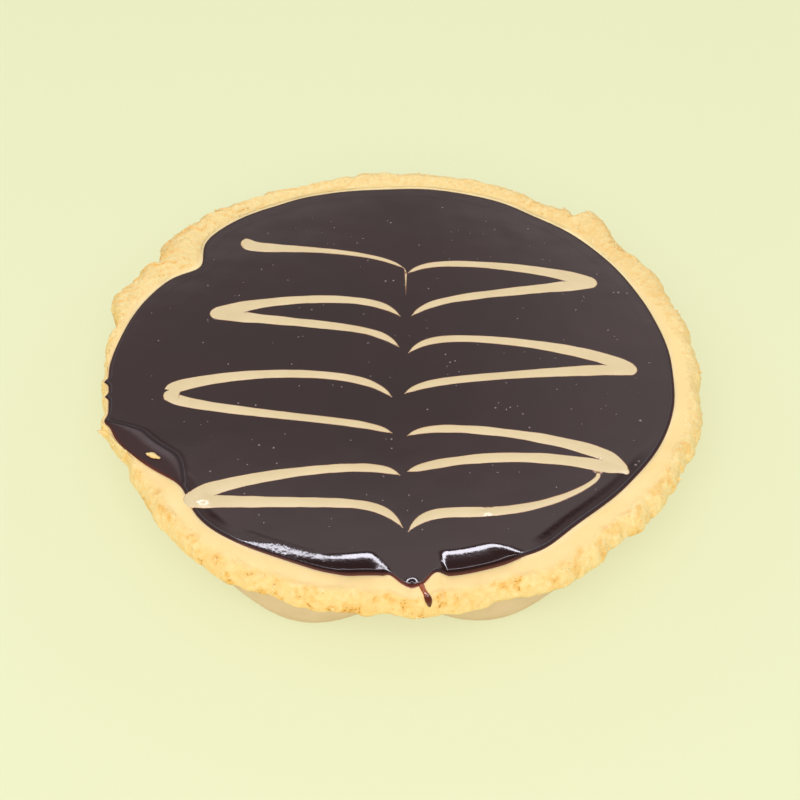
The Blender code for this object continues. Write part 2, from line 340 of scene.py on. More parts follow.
def alongSection(points, place):  # a smooth curve from the glaze's edge to the base, straight elsewhere
    edgePoint, basePoint = crustSettings["edgePoint"], crustSettings["basePoint"]
    first = min(int(place), len(points) - 2)
    share = place - first
    if not edgePoint <= first < basePoint:
        start, end = points[first], points[first + 1]
        return tuple(a + (b - a) * share for a, b in zip(start, end))
    before, start, end = points[max(first - 1, edgePoint)], points[first], points[first + 1]
    after = points[min(first + 2, basePoint)]
    return tuple(
        0.5 * (2 * b + (c - a) * share + (2 * a - 5 * b + 4 * c - d) * share ** 2
               + (3 * b - a - 3 * c + d) * share ** 3)
        for a, b, c, d in zip(before, start, end, after)
    )


def crustRows():  # where along the section the mesh has its rows, closest together on the rim
    rows = [0.0, 1.0, 2.0, 3.0, 4.0]
    for low, high, count in ((5, 7, 9), (7, 10, 21), (10, 12, 11), (12, 16, 10)):
        rows += [low + (high - low) * step / count for step in range(count)]
    return rows + [16.0, 17.0]


# spins a profile of (radius, height) points about Z, each with its row number
def turnProfile(name, profile, steps):
    bpy.ops.mesh.primitive_plane_add(size=mm, location=(profile[0][0], 0.0, profile[0][1]))
    piece = bpy.context.object
    piece.name = name
    bpy.ops.object.transform_apply(location=True, rotation=False, scale=False)
    shape = bmesh.new()
    rowLayer = shape.verts.layers.int.new("row")
    last = None
    for row, (radius, height) in enumerate(profile):
        vertex = shape.verts.new((radius, 0.0, height))
        vertex[rowLayer] = row
        if last:
            shape.edges.new((last, vertex))
        last = vertex
    shape.to_mesh(piece.data)
    shape.free()
    bpy.ops.object.mode_set(mode="EDIT")
    bpy.ops.mesh.select_all(action="SELECT")
    bpy.ops.mesh.spin(steps=steps, angle=math.tau, center=(0, 0, 0), axis=(0, 0, 1))
    bpy.ops.mesh.select_all(action="SELECT")
    bpy.ops.mesh.remove_doubles(threshold=0.00002)
    bpy.ops.mesh.normals_make_consistent(inside=False)
    bpy.ops.object.mode_set(mode="OBJECT")
    return piece


def readRows(piece):
    rows = [value.value for value in piece.data.attributes["row"].data]
    piece.data.attributes.remove(piece.data.attributes["row"])
    return rows


def roundedAngle(place):  # rounded, so that all points of one section share the same angle
    return round(math.atan2(place.y, place.x), 5)


def addAttribute(piece, name, values):
    layer = piece.data.attributes.new(name, "FLOAT", "POINT")
    layer.data.foreach_set("value", values)


# torn layers of pastry: the step of a layer, the shade under it, and a loose crumb
def flakyLayers(spot):
    turn = math.radians(crustSettings["strokeTurn"])
    along = spot.x * math.cos(turn) + spot.y * math.sin(turn)
    across = spot.y * math.cos(turn) - spot.x * math.sin(turn)
    wander = noise.noise(Vector((along * 0.13, across * 0.13, 4.0))) + 0.35 * noise.noise(spot * 0.5)
    share = (across / crustSettings["layerSpacing"] + 1.3 * wander) % 1.0
    step = share / 0.8 if share < 0.8 else (1.0 - share) / 0.2
    patch = noise.noise(Vector((along * 0.24, across * 0.5, 9.0)))
    shade = math.exp(-((share - 0.93) / 0.10) ** 2) + math.exp(-((share + 0.07) / 0.10) ** 2)
    shade *= smoothStep(patch, -0.35, 0.15)
    crumb = noise.noise(spot * 1.1) + 0.6 * noise.noise(spot * 2.4)
    return step - 0.5, shade, crumb


# the torn rim at one place: radius, height, how rough it is, and how browned it is, with painted shade under
# its layers
def tornSurface(angle, place, section):
    case = crustSettings
    radius, height = alongSection(section, place)
    spot = polar(radius, angle, height) / mm
    step, shade, crumb = flakyLayers(spot)
    lump = noise.noise(spot * 0.3)
    back = math.sin(angle)
    behind = smoothStep(back, -0.1, 0.6)
    start = 6.2 - 0.7 * back - 0.5 * behind + 0.4 * lump + 0.2 * crumb
    layerStart = 7.2 - 1.0 * back - 0.5 * behind
    zone = smoothStep(place, start, start + 0.9 - 0.3 * back) * (1.0 - smoothStep(place, 11.4, 12.6))
    layer = featureSum(case["layerRelief"], angle)
    layers = layer * step * smoothStep(place, layerStart, layerStart + 2.2)
    push = zone * (case["crumbRelief"] * (1.0 + 0.4 * back) * crumb + layers)
    push += case["lumpRelief"] * lump * smoothStep(place, 6.0, 8.0) * (1.0 - smoothStep(place, 13.0, 15.5))
    ahead = alongSection(section, place + 0.1)
    before = alongSection(section, place - 0.1)
    outward = Vector((before[1] - ahead[1], ahead[0] - before[0])).normalized() * -1.0
    toastAndShade = featureSum(case["toasting"], angle) * (1.0 + lump) + (0.3 + 0.2 * max(back, 0.0)) * crumb
    # painted shade under each layer's ledge, added to the browning
    toastAndShade += shade * (0.15 + 1.2 * layer / mm) * (0.45 if back < 0.0 else 1.0)
    blotch = noise.noise(Vector((angle * 26.0, place * 0.55, 7.0))) + 0.4 * crumb
    toastAndShade += case["blotches"] * smoothStep(blotch, 0.0, 0.5) * smoothStep(-back, -0.1, 0.4)
    radius += push * outward.x
    height += push * outward.y * case["raisedShare"]
    return radius, height, zone, zone * min(max(toastAndShade, 0.0), 1.0)


def makeCrust():
    case = crustSettings
    rowPlaces = crustRows()
    plain = crustSection(0.0)
    piece = turnProfile("pastryCase", [alongSection(plain, place) for place in rowPlaces], case["steps"])
    rows = readRows(piece)
    browningAndShade, rough, innerEdgeHighlight, wall = [], [], [], []
    for vertex, row in zip(piece.data.vertices, rows):
        angle = roundedAngle(vertex.co)
        section = crustSection(angle)
        place = rowPlaces[row]
        radius, height = alongSection(section, place)
        zone = toastAndShade = 0.0
        if case["edgePoint"] + 0.5 < place < case["basePoint"]:
            radius, height, zone, toastAndShade = tornSurface(angle, place, section)
        vertex.co = polar(radius, angle, max(height, 0.0))
        browningAndShade.append(toastAndShade)
        rough.append(zone)
        # paler pastry in a narrow band along the glaze: a painted highlight on the rounded inner edge
        innerEdgeHighlight.append(1.0 - smoothStep(place, 5.25, 5.9 - 0.3 * math.sin(angle)) if place > 4.5 else 0.0)
        # the smooth side under the rim, which the material paints darker as painted shade under the lip
        wall.append(smoothStep(place, case["wallPoint"] - 0.4, case["wallPoint"] + 0.8))
    addAttribute(piece, "browningAndShade", browningAndShade)
    addAttribute(piece, "roughZone", rough)
    addAttribute(piece, "innerEdgeHighlight", innerEdgeHighlight)
    addAttribute(piece, "wall", wall)
    piece.data.shade_smooth()
    return piece


crust = makeCrust()
print("pastry case made", len(crust.data.polygons))


# the chocolate glaze, down to the bottom of the filling
glazeSettings = {
    "steps": 1080,
    "sunkEdge": 0.12 * mm,      # how far the glaze runs under the pastry's inner edge
    "fillingFoot": 12.0 * mm,
    "thinWidth": 0.4 * mm,      # width of the see-through rim, which is wider at the spout and in the fold
    "dullWidth": 1.0 * mm,      # width of the less glossy rim, which is narrower in the pockets
    "rimDull": 1.5,             # how much less glossy the rim and the fold are
    "foldDull": 1.9,
    "pocketDull": 0.3,
    "dimpleDull": 0.5,
    "foldedRim": 0.9,           # how soft and brown the rim and the grooves are, beside the fold
    "foldedGroove": 0.9,
}


def glazeRows():
    shares = [0.0, 0.2, 0.4, 0.55, 0.68]                     # shares of the radius
    inside = [12.0, 10.5, 9.2, 8.0, 7.2, 6.6]
    inside += [6.0 - 0.25 * step for step in range(21)]      # millimetres in from the edge
    inside += [0.85 - 0.17 * step for step in range(6)]
    return shares, inside


def glazeMarks(angle, radius):  # how see-through, dull, rippled and folded the glaze is at a place
    settings = glazeSettings
    edge = glazeRadius(angle) + settings["sunkEdge"]
    pocket, _, groove, fold, spout = glazeShape(angle)
    nearRim = smoothStep(radius, edge - 3.0 * mm, edge - 2.4 * mm)
    spread = settings["thinWidth"] * (1.0 + 1.4 * min(spout * 3.0, 1.0) + 0.4 * pocket[0]) + 0.08 * fold
    thin = smoothStep(radius, edge - spread, edge)
    past = radius - edge + fold         # how far past the crease of the fold
    foldHere = smoothStep(fold, 0.1 * mm, 0.8 * mm)
    inFold = smoothStep(past, -0.8 * mm, -0.2 * mm) * foldHere
    ridge = 0.45 * smoothStep(past, 0.1 * mm, 0.4 * mm)
    inFold *= 1.0 - ridge * (1.0 - smoothStep(past, 0.2 * fold, 0.45 * fold + 0.1 * mm))
    spread = settings["dullWidth"] * (1.0 - 0.5 * pocket[0])
    dull = settings["rimDull"] * smoothStep(radius, edge - spread, edge - 0.45 * spread)
    spot = polar(radius, angle, 0.0)
    inDimple = smoothStep(dimpleDepth(spot.x, spot.y), 0.0, 0.3 * edgeSettings["dimple"][2])
    inPocket = settings["pocketDull"] * nearRim * pocket[0]
    dull = max(dull, settings["foldDull"] * inFold, inPocket, settings["dimpleDull"] * inDimple)
    folds = smoothStep(past, -1.7 * mm, -0.5 * mm) * foldHere
    folds *= 1.0 + smoothStep(past, 0.1 * mm, 0.5 * mm)
    rim = settings["foldedRim"] * smoothStep(radius, edge - 1.1 * mm, edge - 0.5 * mm) * (1.0 - pocket[0])
    inGroove = groove / edgeSettings["grooveDepth"] * settings["foldedGroove"]
    inGroove *= smoothStep(radius, edge - 3.4 * mm, edge - 1.8 * mm)
    ripple = windowSum(edgeSettings["ripples"], angle) * nearRim
    return thin, dull * (1.0 - 0.6 * inDimple), ripple, max(folds, rim, inGroove)


def makeGlaze():
    shares, inside = glazeRows()
    top = len(shares) + len(inside)
    foot = glazeSettings["fillingFoot"]
    plain = [(edgeSettings["glazeRadius"] * share, edgeSettings["fillingHeight"]) for share in shares]
    rimHeight = edgeSettings["fillingHeight"] - 0.001 * mm
    plain += [(edgeSettings["glazeRadius"] - depth * mm, rimHeight) for depth in inside]
    plain += [(46.0 * mm, 14.0 * mm), (43.0 * mm, foot), (0.0, foot)]
    piece = turnProfile("chocolateGlaze", plain, glazeSettings["steps"])
    rows = readRows(piece)
    thinEdge, dullEdge, ripples, folded = [], [], [], []
    for vertex, row in zip(piece.data.vertices, rows):
        angle = roundedAngle(vertex.co)
        edge = glazeRadius(angle) + glazeSettings["sunkEdge"]
        if row < len(shares):
            radius = edge * shares[row]
        elif row < top:
            radius = edge - inside[row - len(shares)] * mm
        else:
            radius = (edge - 0.6 * mm, edge - 3.0 * mm, 0.0)[row - top]
        height = glazeHeight(angle, radius)
        thin, dull, ripple, fold = glazeMarks(angle, radius)
        if row >= top:
            height = glazeEdgeHeight(angle) - 0.9 * mm if row == top else foot
            thin, dull, fold = 1.0, 1.0, 0.0
        vertex.co = polar(radius, angle, height)
        thinEdge.append(thin)
        dullEdge.append(dull)
        ripples.append(ripple)
        folded.append(fold)
    addAttribute(piece, "thinEdge", thinEdge)
    addAttribute(piece, "dullEdge", dullEdge)
    addAttribute(piece, "ripples", ripples)
    addAttribute(piece, "folded", folded)
    piece.data.shade_smooth()
    return piece


glaze = makeGlaze()
print("glaze made", len(glaze.data.polygons))


# the icing strokes
icingSettings = {
    "raised": 0.035 * mm,
    "shoulder": 0.8 * mm,
    "tipRaised": 0.08 * mm,
    "tipShoulder": (0.7 * mm, 2.2 * mm),        # depths between which the wide tips rise further
    "fringe": (0.04 * mm, 0.17 * mm),           # depths between which the dark edge turns beige
    "blisters": [(-30.9, -31.2, 1.2, 0.12), (13.9, -34.0, 0.85, 0.085)],   # x, y, radius and height
    "thickness": 0.3 * mm,
    "widening": 2.2,            # how soon a strand narrows from its tip
    "waver": 0.12,              # share by which a strand's width varies
    "endWidth": 0.3 * mm,
    "points": 48,
    "knifeX": 0.9 * mm,
    "dragReach": 2.9 * mm,
    "taperReach": 1.3 * mm,
    "tailLength": 7.2 * mm,
    "tailWidths": (0.32 * mm, 0.26 * mm),       # half width at the tail's start, and what it loses
    "crotchGap": 0.3 * mm,
    # places across a strand and rings in its tip where the surface has points
    "ribs": (-0.85, -0.65, -0.35, 0.0, 0.35, 0.65, 0.85),
    "tipRings": (0.85, 0.62, 0.3),
    "pointClearance": 0.05 * mm,
    "pointedTips": ("right_3_back", "right_3_front"),
    "pointedReach": 3.0 * mm,
    # each strand, in millimetres: x and y at its tip, x at its end, y at the knife line, bow, drag,
    # how late it turns to the knife line, and its widths at tip and knife line
    "strands": {
        "left_1": (-28.0, 30.2, 0.9, 25.0, 1.6, 1.8, 0.47, 3.0, 1.1),
        "right_1_back": (34.4, 19.25, 1.5, 24.7, 1.15, 3.6, 0.65, 3.2, 1.55),
        "right_1_front": (34.4, 19.25, 2.2, 13.7, 0.6, 4.9, 0.79, 3.1, 1.85),
        "left_2_back": (-32.1, 11.25, 0.2, 13.6, 2.0, 4.0, 0.52, 3.1, 1.8),
        "left_2_front": (-32.1, 11.25, 0.0, 6.3, 0.4, 4.9, 0.76, 3.1, 1.8),
        "right_2_back": (39.3, -2.7, 1.6, 5.2, 1.4, 5.0, 0.59, 3.1, 1.75),
        "right_2_front": (39.3, -2.7, 0.9, -6.2, 0.1, 2.2, 1.42, 3.1, 1.8),
        "left_3_back": (-38.3, -8.9, -1.2, -6.1, 2.6, 6.4, 0.1, 2.9, 1.75),
        "left_3_front": (-38.3, -8.9, -1.1, -16.0, 0.35, 2.7, 0.59, 2.5, 1.65),
        "right_3_back": (36.4, -25.6, 1.3, -15.85, 1.0, 2.4, 0.46, 3.0, 1.8),
        "right_3_front": (36.4, -25.6, 1.3, -25.2, 2.7, 0.5, 0.42, 2.9, 2.05),
        "left_4_back": (-32.6, -31.2, 0.2, -24.3, 0.9, 2.7, 0.58, 3.15, 1.85),
        "left_4_front": (-32.6, -31.2, 0.6, -31.9, -0.1, 5.8, 0.12, 3.0, 1.95),
        "right_4": (31.9, -26.3, 1.4, -31.7, -3.4, 7.4, 0.48, 0.85, 2.2),
    },
}


def strandPath(name):  # centre points and half widths, from the tip to the end at the knife line
    icing = icingSettings
    tipX, tipY, endX, middleY, bow, drag = (length * mm for length in icing["strands"][name][:6])
    turn, tipWidth, knifeWidth = icing["strands"][name][6:]
    path = []
    for step in range(icing["points"]):
        travel = 0.5 - 0.5 * math.cos(math.pi * step / (icing["points"] - 1))
        x = tipX + (endX - tipX) * travel
        y = tipY + (middleY - tipY) * travel ** turn + 4.0 * bow * travel * (1.0 - travel)
        y -= drag * math.exp(-abs(x - icing["knifeX"]) / icing["dragReach"])
        width = (knifeWidth + (tipWidth - knifeWidth) * (1.0 - travel) ** icing["widening"]) * mm
        width *= 1.0 + icing["waver"] * noise.noise(Vector((x / mm * 0.35, y / mm * 0.1, tipY / mm)))
        width *= 1.0 - math.exp(-abs(x - endX) / icing["taperReach"])
        if name in icing["pointedTips"]:
            width *= 0.45 + 0.55 * smoothStep(abs(x - tipX), 0.0, icing["pointedReach"])
        path.append((Vector((x, y)), 0.5 * max(width, icing["endWidth"])))
    return path


def strandEdge(path, side):  # side 1 is the back edge and side -1 the front edge
    edge = []
    for step, (point, halfWidth) in enumerate(path):
        along = path[min(step + 1, len(path) - 1)][0] - path[max(step - 1, 0)][0]
        across = along.orthogonal().normalized()
        if along.x < 0.0:
            across.negate()
        edge.append(point + side * halfWidth * across)
    return edge


def roundTip(path):  # the rounded end of a strand, from its back edge to its front edge
    centre, radius = path[0]
    outward = math.copysign(1.0, centre.x)
    turns = [math.radians(75.0 - 150.0 * step / 10) for step in range(11)]
    return [centre + radius * Vector((outward * math.cos(turn), math.sin(turn))) for turn in turns]


# the two inner edges of a loop from where they part, and the point of the gap between them
def openStretch(back, front):
    backEdge = strandEdge(back, -1)
    frontEdge = strandEdge(front, 1)
    first = next(
        step for step in range(len(back)) if backEdge[step].y - frontEdge[step].y > icingSettings["crotchGap"]
    )
    crotch = 0.5 * (backEdge[first - 1] + frontEdge[first - 1]) + (back[first - 1][0] - back[first][0])
    return backEdge[first:], frontEdge[first:], crotch


def loopOutline(paths):
    back, front = paths
    backInner, frontInner, crotch = openStretch(back, front)
    outer = strandEdge(back, 1)[:0:-1] + roundTip(back) + strandEdge(front, -1)[1:]
    return outer + frontInner[::-1] + [crotch] + backInner


def tailPath(start):  # the thin tail that the knife drew at the back, from the first strand's end
    icing = icingSettings
    top = start[-1][0]
    width, loss = icing["tailWidths"]
    return [
        (Vector((icing["knifeX"] + 0.3 * mm, top.y - icing["tailLength"] * share)), width - loss * share)
        for share in (step / 9 for step in range(10))
    ]


def firstLoopOutline(paths):
    start, back, front, tail = paths
    down = [point + Vector((width, 0.0)) for point, width in tail[1:]]
    up = [point - Vector((width, 0.0)) for point, width in tail[:0:-1]]
    startEdges = strandEdge(start, -1)[:0:-1] + roundTip(start)[::-1] + strandEdge(start, 1)[1:-1]
    return loopOutline((back, front)) + down + up + startEdges


def heightAt(edge, x):  # y of an edge where it passes x
    for start, end in zip(edge, edge[1:]):
        if min(start.x, end.x) <= x <= max(start.x, end.x):
            return start.y + (end.y - start.y) * (x - start.x) / (end.x - start.x)
    return edge[0].y


def lastLoopOutline(paths):  # a loop with one more strand that branches off its front edge
    back, front, last = paths
    gap = icingSettings["crotchGap"]
    backInner, frontInner, crotch = openStretch(back, front)
    frontOuter = strandEdge(front, -1)
    branch = {
        side: [point for point in strandEdge(last, side) if point.y < heightAt(frontOuter, point.x) - gap]
        for side in (-1, 1)
    }
    towardsTip = [point for point in frontOuter[1:] if point.x > branch[-1][0].x + gap]
    towardsKnife = [point for point in frontOuter if point.x < branch[1][0].x - gap]
    outer = strandEdge(back, 1)[:0:-1] + roundTip(back) + towardsTip
    outer += branch[-1] + branch[1][::-1] + towardsKnife
    return outer + frontInner[::-1] + [crotch] + backInner


def icingDepth(place, paths):  # how far inside the stroke a place lies
    deepest = -1.0
    for path in paths:
        for (start, startWidth), (end, endWidth) in zip(path, path[1:]):
            along = end - start
            share = min(max((place - start).dot(along) / along.length_squared, 0.0), 1.0)
            width = startWidth + (endWidth - startWidth) * share
            deepest = max(deepest, width - (place - start - share * along).length)
    return deepest


def surfaceHeight(place):  # top of the glaze, or of the pastry beyond it
    angle = round(math.atan2(place.y, place.x), 4)
    radius, edge = place.length, glazeRadius(angle)
    height = glazeHeight(angle, min(radius, edge - 0.45 * mm))
    if radius > edge:
        inner, rise, crest = crustSection(angle)[crustSettings["edgePoint"]:][:3]
        (start, low), (end, high) = (inner, rise) if radius < rise[0] else (rise, crest)
        height = max(height, low + (high - low) * min((radius - start) / (end - start), 1.0) + 0.06 * mm)
    return height


def circleTurns(count):
    return [math.tau * step / count for step in range(count)]


# points inside the outline, in millimetres: across the strands, in their tips and in the blisters
def fillPoints(paths):
    icing = icingSettings
    clearance = icing["pointClearance"]
    points = []
    for path in paths:
        for side in icing["ribs"]:
            points += [point / mm for point in strandEdge(path, side) if icingDepth(point, paths) > clearance]
        tip, width = path[0]
        for share in icing["tipRings"]:
            radius = share * width
            ring = [tip + radius * Vector((math.cos(turn), math.sin(turn))) for turn in circleTurns(16)]
            points += [point / mm for point in ring if icingDepth(point, paths) > clearance]
    for x, y, radius, _ in icing["blisters"]:
        if icingDepth(Vector((x, y)) * mm, paths) > 0.5 * mm:
            points += [Vector((x, y))] + [
                Vector((x + radius * ring / 5 * math.cos(turn), y + radius * ring / 5 * math.sin(turn)))
                for ring in range(1, 6) for turn in circleTurns(16)
            ]
    return points


def icingLift(place, depth):  # how far the icing stands above what it lies on
    icing = icingSettings
    lift = 0.025 * mm * smoothStep(depth, -0.02 * mm, 0.05 * mm) - 0.012 * mm
    lift += icing["raised"] * smoothStep(depth, 0.0, icing["shoulder"])
    lift += icing["tipRaised"] * smoothStep(depth, *icing["tipShoulder"])
    for x, y, radius, tall in icing["blisters"]:
        reach = (place - Vector((x, y)) * mm).length / (radius * mm)
        lift += tall * mm * max(1.0 - reach * reach, 0.0) ** 1.15
    return lift


# fills the outline of a stroke with triangles and gives it a low rounded top
def makeIcing(name, outlineOf, strands, node):
    icing = icingSettings
    paths = [strandPath(strand) for strand in strands]
    if outlineOf is firstLoopOutline:
        paths.append(tailPath(paths[0]))
    points = [point / mm for point in outlineOf(paths)]
    border = list(range(len(points)))
    flatPoints, _, triangles = delaunay_2d_cdt(points + fillPoints(paths), [], [border], 1, 1e-4)[:3]
    shape = bmesh.new()
    bodyLayer = shape.verts.layers.float.new("icingBody")
    vertices = []
    for point in flatPoints:
        place = point * mm
        depth = icingDepth(place, paths)
        vertex = shape.verts.new((place.x, place.y, surfaceHeight(place) + icingLift(place, depth)))
        pastEdge = place.length - glazeRadius(math.atan2(place.y, place.x))
        onCrust = smoothStep(pastEdge, -0.3 * mm, 0.1 * mm)
        vertex[bodyLayer] = max(smoothStep(depth, *icing["fringe"]), onCrust)
        vertices.append(vertex)
    for triangle in triangles:
        shape.faces.new([vertices[corner] for corner in triangle])
    bmesh.ops.recalc_face_normals(shape, faces=shape.faces)
    if sum(face.normal.z for face in shape.faces) < 0.0:
        bmesh.ops.reverse_faces(shape, faces=shape.faces)
    mesh = bpy.data.meshes.new(name)
    shape.to_mesh(mesh)
    shape.free()
    piece = bpy.data.objects.new(name, mesh)
    bpy.context.scene.collection.objects.link(piece)
    bpy.ops.object.select_all(action="DESELECT")
    bpy.context.view_layer.objects.active = piece
    piece.select_set(True)
    bpy.ops.object.modifier_add(type="SOLIDIFY")
    piece.modifiers[0].thickness = icing["thickness"]
    piece.modifiers[0].offset = -1.0
    bpy.ops.object.modifier_apply(modifier=piece.modifiers[0].name)
    piece.data.shade_smooth()
    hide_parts(node)
    return piece


icingPieces = [
    makeIcing("icingRight1", firstLoopOutline, ("left_1", "right_1_back", "right_1_front"), "icing_right_1"),
    makeIcing("icingLeft2", loopOutline, ("left_2_back", "left_2_front"), "icing_left_2"),
    makeIcing("icingRight2", loopOutline, ("right_2_back", "right_2_front"), "icing_right_2"),
    makeIcing("icingLeft3", loopOutline, ("left_3_back", "left_3_front"), "icing_left_3"),
    makeIcing("icingRight3", lastLoopOutline, ("right_3_back", "right_3_front", "right_4"), "icing_right_3"),
    makeIcing("icingLeft4", loopOutline, ("left_4_back", "left_4_front"), "icing_left_4"),
]
print("icing made")


# the bubbles in the glaze
bubbleSettings = {
    "count": 170,
    "field": 43.0 * mm,         # how far from the middle the small ones lie
    "size": (0.10 * mm, 0.20 * mm),
    "flatness": 0.55,
    "icingClearance": 0.35 * mm,
    # the big ones: x, y and radius in millimetres
    "big": [
        (38.5, 16.6, 0.24), (39.4, 16.6, 0.3), (40.9, 16.4, 0.24), (24.2, 34.2, 0.22), (-19.4, 34.4, 0.2),
        (-12.2, 34.5, 0.2), (-5.4, 3.7, 0.24), (-2.2, 4.1, 0.2), (39.9, -14.6, 0.3), (38.1, -24.2, 0.3),
        (38.7, -23.4, 0.22), (-43.9, 11.3, 0.2),
    ],
}


def copiesOf(sample, name, places):  # one mesh of many small copies, each turned and scaled in its own way
    shape = bmesh.new()
    for place, sizes, turn in places:
        first = len(shape.verts)
        shape.from_mesh(sample.data)
        shape.verts.ensure_lookup_table()
        for vertex in shape.verts[first:]:
            spot = Vector(part * size for part, size in zip(vertex.co, sizes))
            spot.rotate(turn)
            vertex.co = spot + place
    mesh = bpy.data.meshes.new(name)
    shape.to_mesh(mesh)
    shape.free()
    mesh.shade_smooth()
    piece = bpy.data.objects.new(name, mesh)
    bpy.context.scene.collection.objects.link(piece)
    bpy.data.objects.remove(sample, do_unlink=True)
    return piece


def clearOfIcing(place):
    return icingDepth(place, allPaths) < -bubbleSettings["icingClearance"]


def makeBubbles():
    bpy.ops.object.select_all(action="DESELECT")
    bpy.ops.mesh.primitive_uv_sphere_add(segments=10, ring_count=6, radius=1.0)
    sample = bpy.context.object
    chance = random.Random(11)
    spots = [(Vector((x, y)) * mm, size * mm) for x, y, size in bubbleSettings["big"]]
    while len(spots) < bubbleSettings["count"]:
        reach = bubbleSettings["field"] * math.sqrt(chance.random())
        spot = polar(reach, chance.uniform(0.0, math.tau), 0.0).to_2d()
        size = chance.uniform(*bubbleSettings["size"])
        if clearOfIcing(spot):
            spots.append((spot, size))
    places = []
    for spot, size in spots:
        centre = Vector((spot.x, spot.y, surfaceHeight(spot) + 0.05 * size))
        turn = Euler((0.0, 0.0, chance.uniform(0.0, 3.0)))
        places.append((centre, (size, size, bubbleSettings["flatness"] * size), turn))
    return copiesOf(sample, "glazeBubbles", places)


# the loose crumbs on the torn pastry
crumbSettings = {
    "count": 170,
    "size": (0.12 * mm, 0.26 * mm),
    "angularity": 0.45,
}


def makeCrumbs():
    bpy.ops.object.select_all(action="DESELECT")
    bpy.ops.mesh.primitive_ico_sphere_add(subdivisions=2, radius=1.0)
    sample = bpy.context.object
    for vertex in sample.data.vertices:
        vertex.co *= 1.0 + crumbSettings["angularity"] * noise.noise(vertex.co * 1.7)
    chance = random.Random(5)
    zone = [value.value for value in crust.data.attributes["roughZone"].data]
    ground = [v for v, share in zip(crust.data.vertices, zone) if share > 0.85 and v.normal.z > -0.1]
    places = []
    for vertex in chance.sample(ground, crumbSettings["count"]):
        size = chance.uniform(*crumbSettings["size"])
        sizes = [size * chance.uniform(0.7, 1.3) for _ in range(3)]
        turn = Euler([chance.uniform(0.0, 6.0) for _ in range(3)])
        places.append((vertex.co + vertex.normal * 0.25 * size, sizes, turn))
    piece = copiesOf(sample, "pastryCrumbs", places)
    shades = [0.5 * chance.random() ** 2 for _ in places]
    perCrumb = len(piece.data.vertices) // len(places)
    addAttribute(piece, "browningAndShade", [shades[index // perCrumb] for index in range(len(piece.data.vertices))])
    addAttribute(piece, "roughZone", [0.9] * len(piece.data.vertices))
    return piece


def onPastry(x, y):  # the place and the slope that a straight look down from above the tart meets
    hit, place, normal, _ = crust.ray_cast(Vector((x, y, 30.0 * mm)), Vector((0.0, 0.0, -1.0)))
    return (place, normal) if hit else (Vector((x, y, 13.0 * mm)), Vector((0.0, 0.0, 1.0)))


# the run of glaze down the pastry: x, y and half width along it, in millimetres
runSettings = {
    "route": [
        (3.1, -47.1, 0.6), (3.4, -48.0, 0.42), (3.62, -48.8, 0.36), (3.95, -49.5, 0.38),
        (4.3, -50.2, 0.56), (4.65, -50.95, 0.58),
    ],
    "tall": 0.42 * mm,          # how far it stands off the pastry where it is widest
    "widest": 0.62,
}


def makeRun():  # a run of glaze that left the spout and ends in a drop
    bpy.ops.object.select_all(action="DESELECT")
    bpy.ops.mesh.primitive_uv_sphere_add(segments=20, ring_count=24, radius=1.0)
    piece = bpy.context.object
    piece.name = "glazeRun"
    route = runSettings["route"]
    thin = []
    for vertex in piece.data.vertices:
        travel = (0.5 - 0.5 * vertex.co.z) * (len(route) - 1)
        first = min(int(travel), len(route) - 2)
        share = travel - first
        x, y, width = (a + (b - a) * share for a, b in zip(route[first], route[first + 1]))
        along = (Vector(route[first + 1][:2]) - Vector(route[first][:2])).normalized()
        place, normal = onPastry(x * mm, y * mm)
        disc = Vector((vertex.co.x, vertex.co.y))
        if disc.length > 1e-6:
            disc = disc.normalized() * min(disc.length * 1.5, 1.0)
        side = normal.cross(Vector((along.x, along.y, 0.0))).normalized()
        tall = runSettings["tall"] * width / runSettings["widest"]
        vertex.co = place + side * disc.x * width * mm + normal * (disc.y * tall + 0.1 * tall)
        thin.append(1.0 - 0.35 * smoothStep(travel, 3.0, 4.2))
    bpy.ops.object.mode_set(mode="EDIT")
    bpy.ops.mesh.select_all(action="SELECT")
    bpy.ops.mesh.normals_make_consistent(inside=False)
    bpy.ops.object.mode_set(mode="OBJECT")
    addAttribute(piece, "thinEdge", thin)
    piece.data.shade_smooth()
    return piece


# flakes of pastry: both ends, half width and half thickness, in millimetres
flakeSettings = {
    "flakeInFold": ((-40.9, -21.35), (-38.7, -22.5), 0.46, 0.24),
    "flakeOnLeft": ((-49.8, -15.2), (-47.7, -16.5), 0.42, 0.26),
}


def makeFlake(name, start, end, width, thickness):
    bpy.ops.object.select_all(action="DESELECT")
    bpy.ops.mesh.primitive_ico_sphere_add(subdivisions=3, radius=1.0)
    piece = bpy.context.object
    piece.name = name
    start, end = Vector(start) * mm, Vector(end) * mm
    middle, along = 0.5 * (start + end), 0.5 * (end - start)
    across = along.orthogonal().normalized() * width * mm
    level = onPastry(middle.x, middle.y)[0].z if name == "flakeOnLeft" else surfaceHeight(middle)
    browningAndShade = []
    for vertex in piece.data.vertices:
        bump = 1.0 + 0.4 * noise.noise(vertex.co * 1.6 + Vector((len(name), 0.0, 0.0)))
        spot = middle + along * vertex.co.x * bump + across * vertex.co.y * bump * (1.0 - 0.4 * vertex.co.x)
        browningAndShade.append(min(max(abs(vertex.co.y) * 0.9 - 0.2, 0.0), 1.0))
        vertex.co = Vector((spot.x, spot.y, level + (0.6 + vertex.co.z * bump) * thickness * mm))
    addAttribute(piece, "browningAndShade", browningAndShade)
    addAttribute(piece, "roughZone", [0.7] * len(browningAndShade))
    piece.data.shade_smooth()
    return piece


allPaths = [strandPath(strand) for strand in icingSettings["strands"]]
bubbles = makeBubbles()
crumbs = makeCrumbs()
run = makeRun()
flakes = [makeFlake(name, *numbers) for name, numbers in flakeSettings.items()]
print("bubbles, crumbs, run and flakes made")


def newMaterial(name):
    material = bpy.data.materials.new(name)
    material.use_nodes = True
    return material, material.node_tree, material.node_tree.nodes["Principled BSDF"]


def objectPlace(tree):
    return tree.nodes.new("ShaderNodeTexCoord").outputs["Object"]


